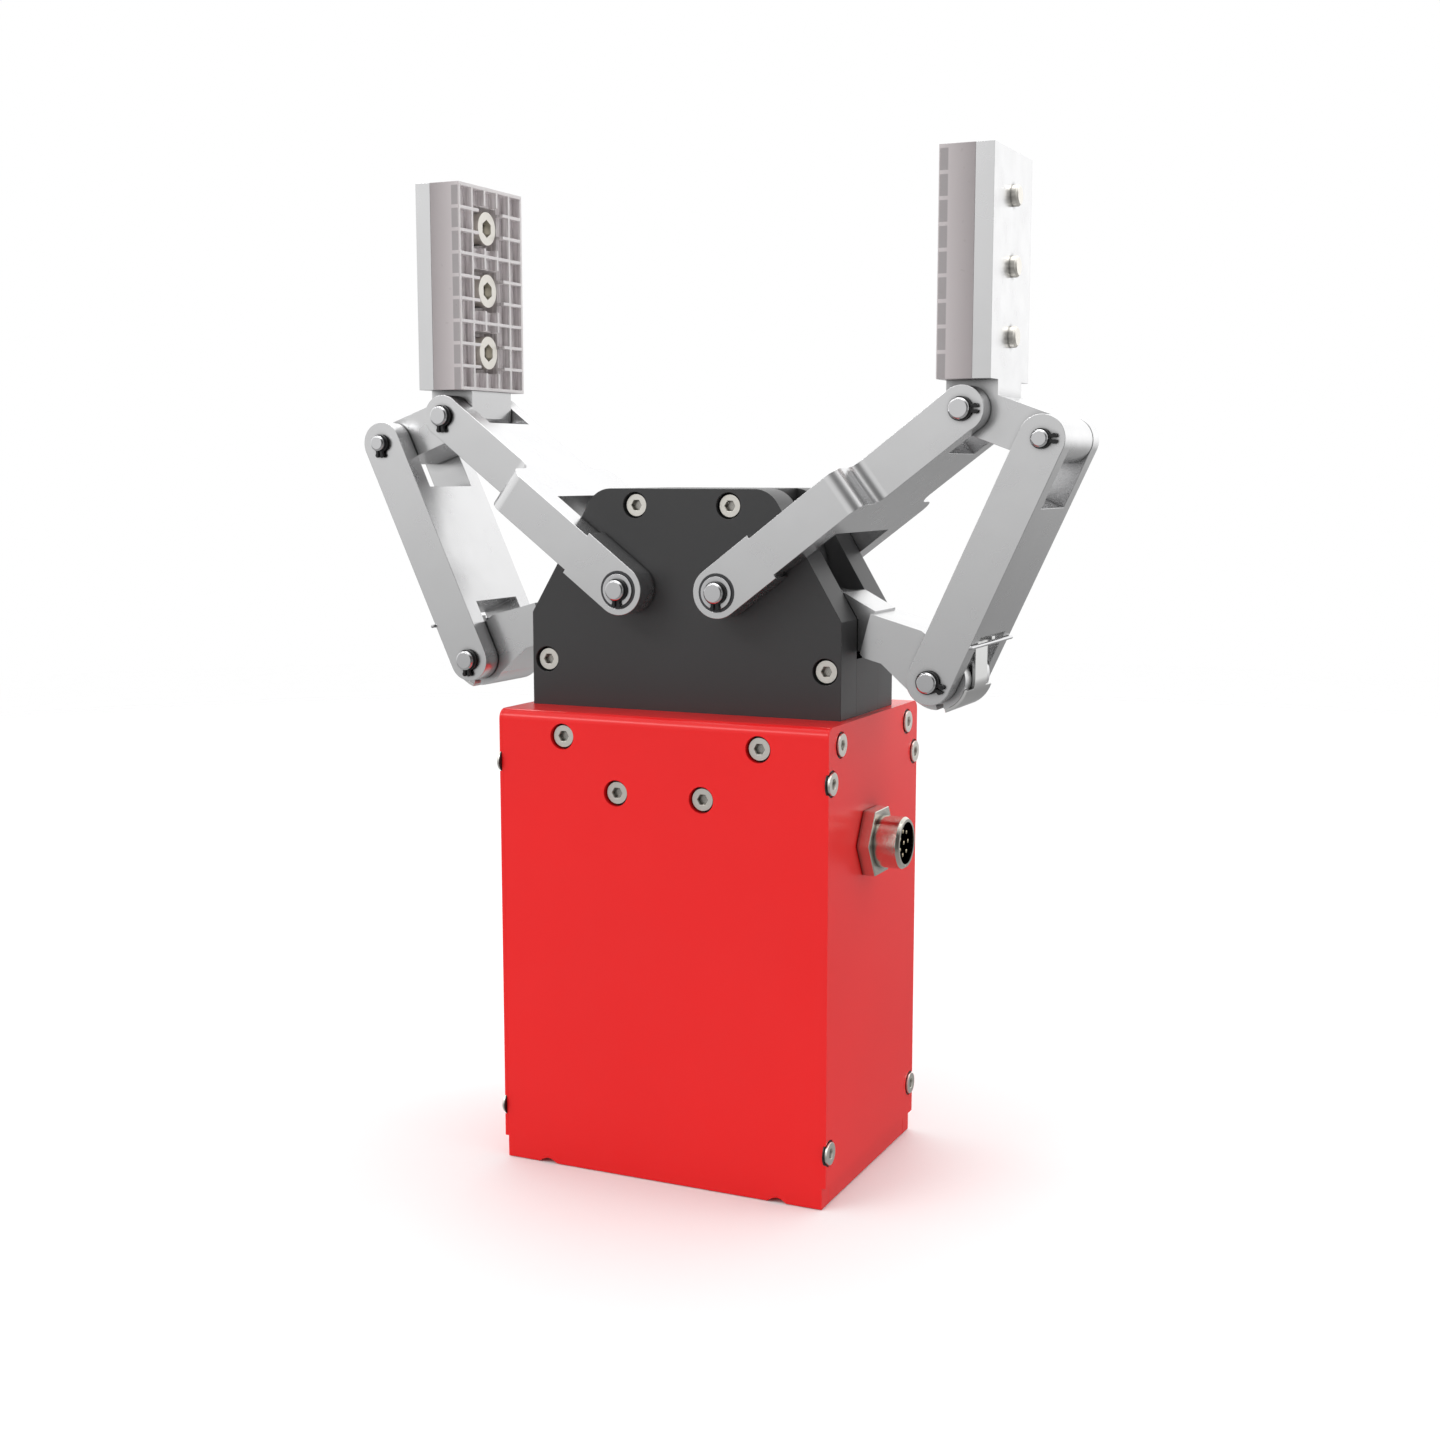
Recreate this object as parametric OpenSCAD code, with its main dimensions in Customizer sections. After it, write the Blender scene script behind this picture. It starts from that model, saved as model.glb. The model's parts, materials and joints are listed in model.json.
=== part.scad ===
// Two-finger electric linkage gripper: a motor housing, a head block and two parallel-motion fingers.
// Millimetres, +Z up, origin at the bottom centre of the base. X is the opening direction of the fingers.
// The drawn pose is fully open; the fingers close towards x = 0.

/* [Housing] */
// Overall width of the housing, side covers included
body_w = 89; // [86:0.5:96]
// Overall depth of the housing
body_d = 62.4; // [60:0.2:70]
// Height of the housing
body_h = 116.4; // [112:0.2:124]
// Thickness of the front and rear walls
wall_t = 4.4; // [4:0.1:6]
// Thickness of the top wall
top_t = 2.4; // [2:0.1:4]
// Thickness of each side cover
cover_t = 1.0; // [0.8:0.1:1.5]
// Outer radius of the two top bends
bend_r = 2.5; // [1.5:0.1:4]
// Thickness of the base plate
base_t = 8; // [7:0.5:10]

/* [Robot flange] */
// Bolt circle of the robot flange
flange_pcd = 50; // [50:1:50]
// Core diameter of the M6 threads for the flange screws
flange_core_d = 5; // [4.8:0.1:5.2]

/* [Head] */
// Width of the head
head_w = 84.4; // [82:0.2:90]
// Depth of the head, front plate to rear plate
head_d = 35.8; // [34:0.2:40]
// Height of the head above the housing
head_h = 54.9; // [52:0.1:60]
// Width of the slot between the two head plates
slot_w = 15; // [14:0.2:18]
// Height of the straight part of the head sides
head_side_h = 23.6; // [22:0.1:26]
// Slope of the head shoulders above the horizontal
shoulder_angle = 59.2; // [57:0.1:61]
// Radius between the shoulders and the top
shoulder_r = 7; // [5:0.5:8]

/* [Linkage] */
// Distance of the inner-link pivots from the middle
link_pivot_x = 13.3; // [13:0.1:14]
// Height of the inner-link pivots above the housing
link_pivot_h = 30.3; // [29:0.1:31]
// Length of the links that keep the finger parallel
link_len = 71.1; // [70:0.1:74]
// Angle of the inner links when fully open
open_angle = 37.2; // [35:0.1:39]
// Spacing of the two pivots on the finger, along X
finger_dx = 19.0; // [18:0.1:20]
// Drop of the outer finger pivot below the inner one
finger_dz = 6.9; // [6:0.1:8]
// Length of the crank between its two pivots
crank_len = 33.6; // [32:0.1:35]
// Downward angle of the crank when fully open
crank_angle = 23.3; // [22:0.1:25]
// Diameter of the main link pins
pin_d = 5; // [4:0.5:5]
// Diameter of the outer finger pin
small_pin_d = 4; // [3:0.5:4]

/* [Fingers] */
// Height of the finger plate and pad
pad_h = 52.2; // [48:0.2:56]
// Width of the finger plate and pad
pad_w = 31; // [30:0.5:32]
// Thickness of the rubber pad
pad_t = 8.6; // [7:0.1:9]
// Thickness of the finger plate
plate_t = 4.4; // [4:0.1:6]
// Rows of cells in the pad face
cell_rows = 9; // [7:1:11]
// Columns of cells in the pad face
cell_cols = 5; // [3:2:5]
// Spacing of the pad screws
pad_screw_pitch = 16; // [15:0.5:17]

/* [Drive] */
// Gear module of the rack and the two sectors
gear_m = 1.5; // [1.5:0.1:1.5]
// Teeth on the full circle of a sector
gear_z = 30; // [30:1:30]
// Play between the rack and the sector teeth
gear_play = 0.16; // [0.1:0.02:0.3]
// Diameter of the drive screw
screw_d = 8; // [6:0.5:8]

/* [Connector] */
// Diameter of the connector barrel
conn_d = 12.8; // [12:0.1:14]
// Hexagon width of the connector nut
conn_hex = 16; // [15:0.5:18]
// Length of the connector outside the cover
conn_len = 9.8; // [8:0.1:12]

/* [Hidden] */
$fn = 64;

// Colours
RED = [0.84, 0.10, 0.10];
BLACK = [0.20, 0.20, 0.21];
ALU = [0.74, 0.74, 0.75];
STEEL = [0.66, 0.66, 0.66];
NICKEL = [0.80, 0.78, 0.74];
RUBBER = [0.62, 0.60, 0.60];
BRONZE = [0.72, 0.56, 0.32];
GREEN = [0.10, 0.38, 0.20];
CLIP = [0.08, 0.08, 0.08];

eps = 0.01;
// gap between parts that move past each other
gap = 0.3;
// radial play of a running pivot
run = 0.05;

// Housing
shell_x = body_w / 2 - cover_t;
wall_y = body_d / 2;
inner_y = wall_y - wall_t;
top_z = body_h - top_t;
drive_plate_t = 7;
drive_z0 = top_z - drive_plate_t;
cover_z0 = 5.3;
m3_r = 1.5;
m3_head_r = 2.75;
m3_head_h = 1.7;
m3_bore_r = 3.25;
m3_socket = 1.35;
head_recess = 0.9;
washer_t = 0.3;
m3_bore_depth = head_recess + m3_head_h + washer_t;
m3_len = 8;
// front screws of the shell: [x, z]
shell_screw_at = [[26.5, body_h - 6], [11.6, body_h - 19.2]];
// side screws: [y, z]
cover_screw_at = [[23.4, body_h - 4.8], [29.0, body_h - 13.3], [29.0, 13.5]];
cover_bore_depth = 0.6;
cover_head_h = 0.8;
cover_socket = 0.65;
opening_x = 34;
opening_y = 8.2;

// Robot flange
dowel_r = 3;
dowel_depth = 6;

// Head
head_z0 = body_h;
head_z1 = body_h + head_h;
head_y = head_d / 2;
slot_y = slot_w / 2;
head_screw_at = [[12.7, head_z1 - 4.1], [38.1, head_z0 + 11.6]];
spacer_y = slot_y;
bolt_at = [30, 12.7];

// Linkage points, right finger, drawn pose
G1 = [link_pivot_x, head_z0 + link_pivot_h];
PI1 = G1 + link_len * [cos(open_angle), sin(open_angle)];
PU1 = PI1 + [finger_dx, -finger_dz];
G2 = PU1 - link_len * [cos(open_angle), sin(open_angle)];
PL1 = G2 + crank_len * [cos(crank_angle), -sin(crank_angle)];
ol_vec = PU1 - PL1;
ol_len = norm(ol_vec);
ol_angle = atan2(ol_vec[1], ol_vec[0]);
pin_r = pin_d / 2;
small_pin_r = small_pin_d / 2;

// Depths of the link plates
fork_y = 10;
core_y = fork_y - gap;
ol_y = 15.7;
il_y = 15.5;
arm_y = 26;
arm_in_y = head_y + gap;
pin_end = 2.4;
end_chamfer = 0.4;
clip_t = 0.7;

// Inner link outline, along the link and across it
il_half = 5.3;
il_eye_r = 6.2;
il_eye_len = 14.6;
il_tip_r = 5.4;
arm_slot_s = 30.4;
arm_end_s = 42;
tip_slot_s = 61.4;
arm_bend_r = 4;
arm_fillet_r = 3.5;

// Outer link outline
ol_half = 5.5;
ol_slot_lo = 14;
ol_slot_hi = 47;

// Crank
crank_half_y = slot_y - gap;
hub_r = 7;
shaft_r = 4;
bearing_r = 6;
bearing_len = 7;
eye_r = 7.2;

// Gear
pitch_r = gear_m * gear_z / 2;
add_h = 1.3;
ded_h = 1.85;
tooth_pitch = PI * gear_m;
press_a = 20;
rack_x = G2[0] - pitch_r;
sector_lo = 108;
sector_hi = 192;

// Rack
rack_z1 = head_z1 - 6;
rack_z0 = G2[1] - 8;
rack_bore_r = 5.5;

// Fingers
pad_x0 = PI1[0] - 6.1;
pad_x1 = pad_x0 + pad_t;
plate_x1 = pad_x1 + plate_t;
pad_z0 = PI1[1] + 6.7;
pad_z1 = pad_z0 + pad_h;
finger_half = 5.4;
neck_x0 = PI1[0] - 5.5;
m5_r = 2.5;
m5_head_r = 4.25;
m5_head_h = 5;
m5_tip = 1.7;
pad_screw_x = pad_x0 + 1.4;
pad_rim = 0.85;
pad_rib = 0.8;
cell_depth = 2.2;
pocket_w = 11.6;
pocket_h = 10.8;

// Connector
conn_y = -3.8;
conn_z = body_h - 31;
conn_nut_t = 3.4;
conn_hole_r = 5.9;

// ---------- helpers ----------
module ycyl(r, y0, y1) {
    translate([0, y1, 0]) rotate([90, 0, 0]) cylinder(r = r, h = y1 - y0);
}
module xcyl(r, x0, x1) {
    translate([x0, 0, 0]) rotate([0, 90, 0]) cylinder(r = r, h = x1 - x0);
}
// rod along Y with both ends chamfered
module yrod(r, y0, y1) {
    translate([0, y1, 0]) rotate([90, 0, 0]) rotate_extrude() polygon([[0, 0], [r - end_chamfer, 0],
        [r, end_chamfer], [r, y1 - y0 - end_chamfer], [r - end_chamfer, y1 - y0], [0, y1 - y0]]);
}
module box(lo, hi) {
    translate(lo) cube(hi - lo);
}
// children drawn flat in X-Z, given depth from y0 to y1
module slab(y0, y1) {
    translate([0, y1, 0]) rotate([90, 0, 0]) linear_extrude(height = y1 - y0) children();
}
module at(p) {
    translate([p[0], 0, p[1]]) children();
}
module sides() {
    for (m = [0, 1]) mirror([m, 0, 0]) children();
}
// the same for flat outlines
module sides2() {
    for (m = [0, 1]) mirror([m, 0]) children();
}
module front_back() {
    for (m = [0, 1]) mirror([0, m, 0]) children();
}
module in_link(p, a) {
    translate([p[0], 0, p[1]]) rotate([0, -a, 0]) children();
}
module left_of() {
    mirror([1, 0, 0]) children();
}

// ---------- screws ----------
// socket head screw along +Y, the top of its head at y = 0
module m3_screw(len, head_h = m3_head_h, socket = m3_socket) {
    difference() {
        union() {
            ycyl(m3_head_r, 0, head_h);
            ycyl(m3_r, head_h - eps, head_h + len);
        }
        translate([0, socket, 0]) rotate([90, 0, 0]) cylinder(r = 1.45, h = socket + eps, $fn = 6);
    }
}
module m3_bore(depth, len) {
    ycyl(m3_bore_r, -1, depth);
    ycyl(m3_r, depth - eps, depth + len);
}
module m3_washer() {
    difference() {
        ycyl(m3_bore_r - 0.02, 0, washer_t);
        ycyl(m3_r, -1, 1);
    }
}

// ---------- housing ----------
module housing_profile() {
    // section across Y: two walls and a top, as one bent plate
    difference() {
        union() {
            translate([-wall_y, 0]) square([2 * wall_y, body_h - bend_r]);
            translate([-wall_y + bend_r, 0]) square([2 * (wall_y - bend_r), body_h]);
            for (s = [-1, 1]) translate([s * (wall_y - bend_r), body_h - bend_r]) circle(r = bend_r);
        }
        translate([-inner_y, -1]) square([2 * inner_y, top_z + 1]);
    }
}
module housing_shell() {
    color(RED) difference() {
        translate([-shell_x, 0, 0]) rotate([90, 0, 90]) linear_extrude(height = 2 * shell_x)
            housing_profile();
        // opening for the rack and the crank sectors
        box([-opening_x, -opening_y, top_z - 1], [opening_x, opening_y, body_h + 1]);
        front_back() sides() {
            for (p = shell_screw_at) translate([p[0], -wall_y, p[1]]) m3_bore(m3_bore_depth, wall_t);
            for (i = [1, 2]) translate([shell_x, cover_screw_at[i][0], cover_screw_at[i][1]])
                xcyl(m3_r, -m3_len, 1);
            translate([bolt_at[0], bolt_at[1], top_z - 1]) cylinder(r = 2, h = top_t + 2);
            // countersunk threaded holes in the lower edges
            translate([31.8, 29, -eps]) cylinder(r1 = 3.3, r2 = 1.3, h = 2);
            translate([31.8, 29, 0]) cylinder(r = 1.25, h = 8);
        }
    }
}
module base_plate() {
    color(RED) difference() {
        box([-shell_x, -inner_y, 0], [shell_x, inner_y, base_t]);
        for (a = [45:90:315]) rotate([0, 0, a]) translate([flange_pcd / 2, 0, -1])
            cylinder(r = flange_core_d / 2, h = base_t + 2);
        // dowel hole of the flange pattern
        translate([flange_pcd / 2, 0, -1]) cylinder(r = dowel_r, h = dowel_depth + 1);
    }
}
module side_cover_plate() {
    difference() {
        box([shell_x, -wall_y, cover_z0], [body_w / 2, wall_y, body_h]);
        for (p = cover_screw_at) front_back() translate([shell_x, p[0], p[1]]) {
            xcyl(m3_r, -1, cover_t + 1);
            xcyl(m3_bore_r, cover_t - cover_bore_depth, cover_t + 1);
        }
        // rounded rear and front top corners, in line with the bends
        for (m = [0, 1]) mirror([0, m, 0]) difference() {
            box([shell_x - 1, wall_y - bend_r, body_h - bend_r], [body_w / 2 + 1, wall_y + 1, body_h + 1]);
            translate([0, wall_y - bend_r, body_h - bend_r]) xcyl(bend_r, shell_x - 2, body_w / 2 + 2);
        }
    }
}
module side_cover_right() {
    color(RED) difference() {
        side_cover_plate();
        translate([0, conn_y, conn_z]) xcyl(conn_hole_r, shell_x - 1, body_w / 2 + 1);
    }
}
module side_cover_left() {
    color(RED) left_of() side_cover_plate();
}
module drive_plate() {
    color(ALU) difference() {
        box([-shell_x, -inner_y, drive_z0], [shell_x, inner_y, top_z]);
        box([-opening_x, -opening_y, drive_z0 + 2.5], [opening_x, opening_y, top_z + 1]);
        box([-rack_x - 2, -opening_y, drive_z0 - 1], [rack_x + 2, opening_y, top_z + 1]);
        front_back() sides() {
            translate([shell_screw_at[0][0], -inner_y, shell_screw_at[0][1]]) ycyl(m3_r, -1, m3_len);
            translate([shell_x, cover_screw_at[0][0], cover_screw_at[0][1]]) xcyl(m3_r, -m3_len, 1);
            translate([bolt_at[0], bolt_at[1], drive_z0 - 1]) cylinder(r = 2, h = drive_plate_t + 2);
            translate([bracket_screw_at[0], bracket_screw_at[1], drive_z0 - 1]) {
                cylinder(r = m3_r, h = drive_plate_t + 2);
                translate([0, 0, 1 + drive_plate_t - bracket_head_h]) cylinder(r = m3_head_r + 0.15, h = 4);
            }
        }
    }
}

// ---------- motor unit ----------
bracket_z0 = 76;
bracket_floor = 5;
bracket_wall = 6.4;
bracket_x = 26;
bracket_screw_at = [17, inner_y - bracket_wall / 2];
bracket_head_h = 3.2;
spigot_r = 11;
gearbox_r = 18;
gearbox_h = 22;
motor_r = 20;
motor_h = 34;
motor_z0 = bracket_z0 - gearbox_h - motor_h;
encoder_r = 16;
encoder_h = 10;
module motor_bracket() {
    color(ALU) difference() {
        box([-bracket_x, -inner_y, bracket_z0], [bracket_x, inner_y, drive_z0]);
        box([-bracket_x - 1, -inner_y + bracket_wall, bracket_z0 + bracket_floor],
            [bracket_x + 1, inner_y - bracket_wall, drive_z0 + 1]);
        translate([0, 0, bracket_z0 - 1]) cylinder(r = spigot_r, h = bracket_floor + 2);
        front_back() sides() {
            translate([shell_screw_at[1][0], -inner_y, shell_screw_at[1][1]]) ycyl(m3_r, -1, m3_len);
            translate([bracket_screw_at[0], bracket_screw_at[1], drive_z0 - 9]) cylinder(r = m3_r, h = 10);
        }
    }
}
// socket head screws from the drive plate down into the bracket walls
module bracket_screws() {
    color(NICKEL) front_back() sides()
        translate([bracket_screw_at[0], bracket_screw_at[1], top_z - 0.2]) rotate([-90, 0, 0])
            m3_screw(12, bracket_head_h - 0.2);
}
module gearbox() {
    color(STEEL) difference() {
        union() {
            translate([0, 0, bracket_z0 - gearbox_h]) cylinder(r = gearbox_r, h = gearbox_h);
            translate([0, 0, bracket_z0 - 2]) cylinder(r = spigot_r - run, h = 5);
        }
        translate([0, 0, bracket_z0 - 8]) cylinder(r = 3 + gap, h = 12);
    }
}
module motor() {
    color(BLACK) difference() {
        translate([0, 0, motor_z0]) cylinder(r = motor_r, h = motor_h);
        // cooling grooves
        for (i = [0:4]) translate([0, 0, motor_z0 + 6 + 5.5 * i]) difference() {
            cylinder(r = motor_r + 1, h = 1.5);
            translate([0, 0, -1]) cylinder(r = motor_r - 1, h = 4);
        }
    }
}
module encoder_cap() {
    color(BLACK) translate([0, 0, motor_z0 - encoder_h]) difference() {
        cylinder(r = encoder_r, h = encoder_h);
        translate([0, 0, 2]) cylinder(r = encoder_r - 4, h = encoder_h);
    }
}
board_x = -38;
board_t = 1.6;
board_z0 = 14;
board_z1 = 96;
board_y = 23;
board_hole = [20, 4];
module board_holes() {
    for (y = [-board_hole[0], board_hole[0]], z = [board_z0 + board_hole[1], board_z1 - board_hole[1]])
        translate([0, y, z]) children();
}
module controller_board() {
    color(GREEN) difference() {
        box([board_x, -board_y, board_z0], [board_x + board_t, board_y, board_z1]);
        board_holes() xcyl(1.6, board_x - 1, board_x + board_t + 1);
    }
}
module board_components() {
    color(BLACK) translate([board_x + board_t, 0, board_z0]) {
        box([0, -6, 34], [1.6, 6, 46]);
        box([0, 10, 12], [1.2, 17, 19]);
        box([0, -17, 12], [1.2, -10, 19]);
        box([0, -16, 62], [6, 16, 70]);
        for (y = [-12, 0, 12]) translate([0, y, 54]) xcyl(3, 0, 7);
    }
}
module board_spacers() {
    color(NICKEL) board_holes() difference() {
        xcyl(2.6, -shell_x, board_x);
        xcyl(1.25, -shell_x + 1, board_x + 1);
    }
}

// ---------- connector ----------
module at_connector() {
    translate([body_w / 2, conn_y, conn_z]) children();
}
module connector_nut() {
    color(NICKEL) at_connector() difference() {
        rotate([0, 90, 0]) rotate([0, 0, 30]) cylinder(r = conn_hex / sqrt(3), h = conn_nut_t, $fn = 6);
        xcyl(conn_hole_r, -1, conn_nut_t + 1);
    }
}
module connector_barrel() {
    color(NICKEL) at_connector() difference() {
        union() {
            xcyl(conn_hole_r, -12, conn_nut_t);
            xcyl(conn_d / 2, conn_nut_t, conn_len - 0.8);
            translate([conn_len - 0.8 - eps, 0, 0]) rotate([0, 90, 0])
                cylinder(r1 = conn_d / 2, r2 = conn_d / 2 - 0.5, h = 0.8 + eps);
        }
        xcyl(5.2, -11, conn_len + 1);
    }
}
module connector_insert() {
    color(CLIP) at_connector() difference() {
        xcyl(5.2, -11, conn_len - 1.2);
        for (p = pin_ring()) translate([0, p[0], p[1]]) xcyl(0.5, -9, conn_len);
        translate([0, 0, 4.6]) xcyl(0.7, conn_len - 4, conn_len);
    }
}
function pin_ring() = concat([[0, 0]], [for (i = [0:6]) 3 * [cos(i * 360 / 7), sin(i * 360 / 7)]]);
module connector_pins() {
    color(NICKEL) at_connector() for (p = pin_ring())
        translate([0, p[0], p[1]]) xcyl(0.5, -9, conn_len - 0.7);
}

// ---------- head ----------
// outline of the head from its lower left corner, with the two rounded top corners
function arc_at(c, r, a0, a1, n) =
    [for (i = [0:n]) let (a = a0 + (a1 - a0) * i / n) c + r * [cos(a), sin(a)]];
module head_outline() {
    shoulder_run = (head_h - head_side_h) / tan(shoulder_angle);
    x_top = head_w / 2 - shoulder_run;
    cx = x_top - shoulder_r * tan(shoulder_angle / 2);
    cz = head_h - shoulder_r;
    polygon(concat(
        [[-head_w / 2, 0], [head_w / 2, 0], [head_w / 2, head_side_h]],
        arc_at([cx, cz], shoulder_r, 90 - shoulder_angle, 90, 12),
        arc_at([-cx, cz], shoulder_r, 90, 90 + shoulder_angle, 12),
        [[-head_w / 2, head_side_h]]));
}
module head_plate_front() {
    difference() {
        slab(-head_y, -slot_y) translate([0, head_z0]) head_outline();
        sides() {
            for (p = head_screw_at) translate([p[0], -head_y, p[1]]) m3_bore(m3_bore_depth, head_d);
            at(G1) ycyl(pin_r, -head_y - 1, -slot_y + 1);
            at(G2) ycyl(bearing_r, -slot_y - bearing_len - 1, -slot_y + 1);
            translate([bolt_at[0], -bolt_at[1], head_z0 - 1]) cylinder(r = 2, h = 9);
        }
    }
}
module head_front_plate() {
    color(BLACK) head_plate_front();
}
module head_rear_plate() {
    color(BLACK) mirror([0, 1, 0]) head_plate_front();
}
module head_spacers() {
    color(BLACK) intersection() {
        slab(-slot_y, slot_y) translate([0, head_z0]) head_outline();
        difference() {
            union() {
                sides() box([34, -spacer_y, head_z0], [head_w / 2, spacer_y, head_z0 + 14]);
                box([-20, -spacer_y, head_z1 - 5.4], [20, spacer_y, head_z1]);
                sides() box([11.9, -spacer_y, head_z1 - 7.6], [20, spacer_y, head_z1 - 5]);
            }
            sides() for (p = head_screw_at)
                translate([p[0], 0, p[1]]) ycyl(m3_r, -spacer_y - 1, spacer_y + 1);
        }
    }
}
module head_mount_bolts() {
    color(NICKEL) front_back() sides() translate([bolt_at[0], bolt_at[1], drive_z0]) {
        difference() {
            translate([0, 0, -4]) cylinder(r = 3.5, h = 4);
            translate([0, 0, -4 - eps]) cylinder(r = 1.7, h = 2, $fn = 6);
        }
        translate([0, 0, -eps]) cylinder(r = 2, h = drive_plate_t + top_t + 7);
    }
}
module head_screws() {
    color(NICKEL) front_back() sides() for (p = head_screw_at)
        translate([p[0], -head_y + head_recess, p[1]]) m3_screw(14);
}
module shell_screws() {
    color(NICKEL) front_back() sides() for (p = shell_screw_at)
        translate([p[0], -wall_y + head_recess, p[1]]) m3_screw(8);
}
cover_head_x = body_w / 2 - cover_bore_depth + washer_t + cover_head_h;
module cover_screws() {
    color(NICKEL) front_back() sides() for (p = cover_screw_at)
        translate([cover_head_x, p[0], p[1]]) rotate([0, 0, 90]) m3_screw(6.5, cover_head_h, cover_socket);
}
module screw_washers() {
    color(CLIP) front_back() sides() {
        for (p = head_screw_at) translate([p[0], -head_y + head_recess + m3_head_h, p[1]]) m3_washer();
        for (p = shell_screw_at) translate([p[0], -wall_y + head_recess + m3_head_h, p[1]]) m3_washer();
        for (p = cover_screw_at) translate([cover_head_x - cover_head_h, p[0], p[1]]) rotate([0, 0, 90])
            m3_washer();
    }
}
module crank_bearings() {
    color(BRONZE) front_back() sides() at(G2) difference() {
        ycyl(bearing_r, -slot_y - bearing_len, -slot_y);
        ycyl(shaft_r + run, -slot_y - bearing_len - 1, 0);
    }
}
module link_pivot_pins() {
    color(STEEL) front_back() sides() at(G1) difference() {
        yrod(pin_r, -arm_y - pin_end, -slot_y - 0.6);
        difference() {
            ycyl(pin_r + 1, -arm_y - 1.2, -arm_y - 1.2 + clip_t);
            ycyl(pin_r - 0.25, -arm_y - 2, -arm_y);
        }
    }
    // thrust washer between the bush and the clip
    color(STEEL) front_back() sides() at(G1) difference() {
        ycyl(bush_r - 0.7, -arm_y - 0.45, -arm_y - 0.05);
        ycyl(pin_r + run, -arm_y - 1, -arm_y + 1);
    }
}
// E-shaped retaining clip, its lugs along +X, face at y = 0 and body behind it
module clip(r) {
    difference() {
        union() {
            ycyl(r + 0.3, 0, clip_t);
            for (s = [-1, 1]) translate([r + 1.15, 0, s * 0.6]) ycyl(0.6, 0, clip_t);
            box([0, 0, -1], [r + 1.15, clip_t, 1]);
        }
        ycyl(r - 0.25, -1, clip_t + 1);
        box([0, -1, -0.25], [r + 4, clip_t + 1, 0.25]);
    }
}
module link_pivot_clips() {
    color(CLIP) front_back() sides() at(G1) translate([0, -arm_y - 1.2, 0]) rotate([0, 90, 0]) clip(pin_r);
}

// ---------- drive ----------
coupling_z0 = 84;
coupling_h = 16;
screw_r = screw_d / 2;
// The screw runs in the bearing under the drive plate and ends below the top spacer.
bearing_t = 5;
bearing_flange_r = 14;
shaft_out_r = 3;
screw_z0 = coupling_z0 + coupling_h / 2;
screw_z1 = head_z1 - 7;
shaft_z0 = bracket_z0 - 7;
module screw_bearing() {
    color(STEEL) difference() {
        translate([0, 0, drive_z0 - bearing_t]) cylinder(r = bearing_flange_r, h = bearing_t);
        translate([0, 0, drive_z0 - bearing_t - 1]) cylinder(r = screw_r + run, h = bearing_t + 2);
    }
}
module drive_screw() {
    color(STEEL) {
        translate([0, 0, screw_z0]) cylinder(r = screw_r, h = screw_z1 - screw_z0);
        translate([0, 0, shaft_z0]) cylinder(r = shaft_out_r, h = screw_z0 - shaft_z0 + eps);
    }
}
module screw_coupling() {
    color(ALU) difference() {
        translate([0, 0, coupling_z0]) cylinder(r = 8, h = coupling_h);
        translate([0, 0, coupling_z0 - 1]) cylinder(r = shaft_out_r, h = coupling_h + 2);
        translate([0, 0, screw_z0]) cylinder(r = screw_r, h = coupling_h);
        for (i = [0:2]) translate([0, 0, coupling_z0 + 5 + 2.6 * i]) difference() {
            cylinder(r = 9, h = 0.8);
            translate([0, 0, -1]) cylinder(r = 6.4, h = 3);
        }
    }
}
// rack teeth point along +X; a tooth gap is centred at the height of the crank pivot
module rack_teeth() {
    n0 = ceil((rack_z0 + 2 - G2[1]) / tooth_pitch - 0.5);
    n1 = floor((rack_z1 - 2 - G2[1]) / tooth_pitch - 0.5);
    half = tooth_pitch / 4 - gear_play / 2;
    for (i = [n0:n1]) translate([rack_x, G2[1] + (i + 0.5) * tooth_pitch]) polygon([
        [-ded_h - 0.2, -half - ded_h * tan(press_a)], [add_h, -half + add_h * tan(press_a)],
        [add_h, half - add_h * tan(press_a)], [-ded_h - 0.2, half + ded_h * tan(press_a)]]);
}
module drive_rack() {
    color(STEEL) difference() {
        slab(-crank_half_y, crank_half_y) union() {
            translate([-rack_x + ded_h, rack_z0]) square([2 * (rack_x - ded_h), rack_z1 - rack_z0]);
            sides2() rack_teeth();
        }
        translate([0, 0, rack_z0 - 1]) cylinder(r = rack_bore_r, h = rack_z1 - rack_z0 + 2);
    }
}
module rack_nut() {
    color(BRONZE) difference() {
        translate([0, 0, rack_z0]) cylinder(r = rack_bore_r, h = rack_z1 - rack_z0);
        translate([0, 0, rack_z0 - 1]) cylinder(r = screw_r + run, h = rack_z1 - rack_z0 + 2);
    }
}

// ---------- crank ----------
// involute flank of a tooth centred on angle zero, as [radius, half angle] pairs
base_r = pitch_r * cos(press_a);
function inv_deg(r) = let (t = acos(base_r / r)) tan(t) * 180 / PI - t;
half_pitch_deg = 90 / gear_z - gear_play / 2 / pitch_r * 180 / PI;
root_r = pitch_r - ded_h;
tip_r = pitch_r + add_h;
function flank_r(i) = max(base_r, root_r) + (tip_r - max(base_r, root_r)) * i / 5;
function flank_deg(r) = half_pitch_deg + inv_deg(pitch_r) - inv_deg(r);
function tooth(a) = concat(
    [for (i = [0:5]) let (r = flank_r(i), d = a + flank_deg(r)) r * [cos(d), sin(d)]],
    [for (i = [5:-1:0]) let (r = flank_r(i), d = a - flank_deg(r)) r * [cos(d), sin(d)]]);
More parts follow.
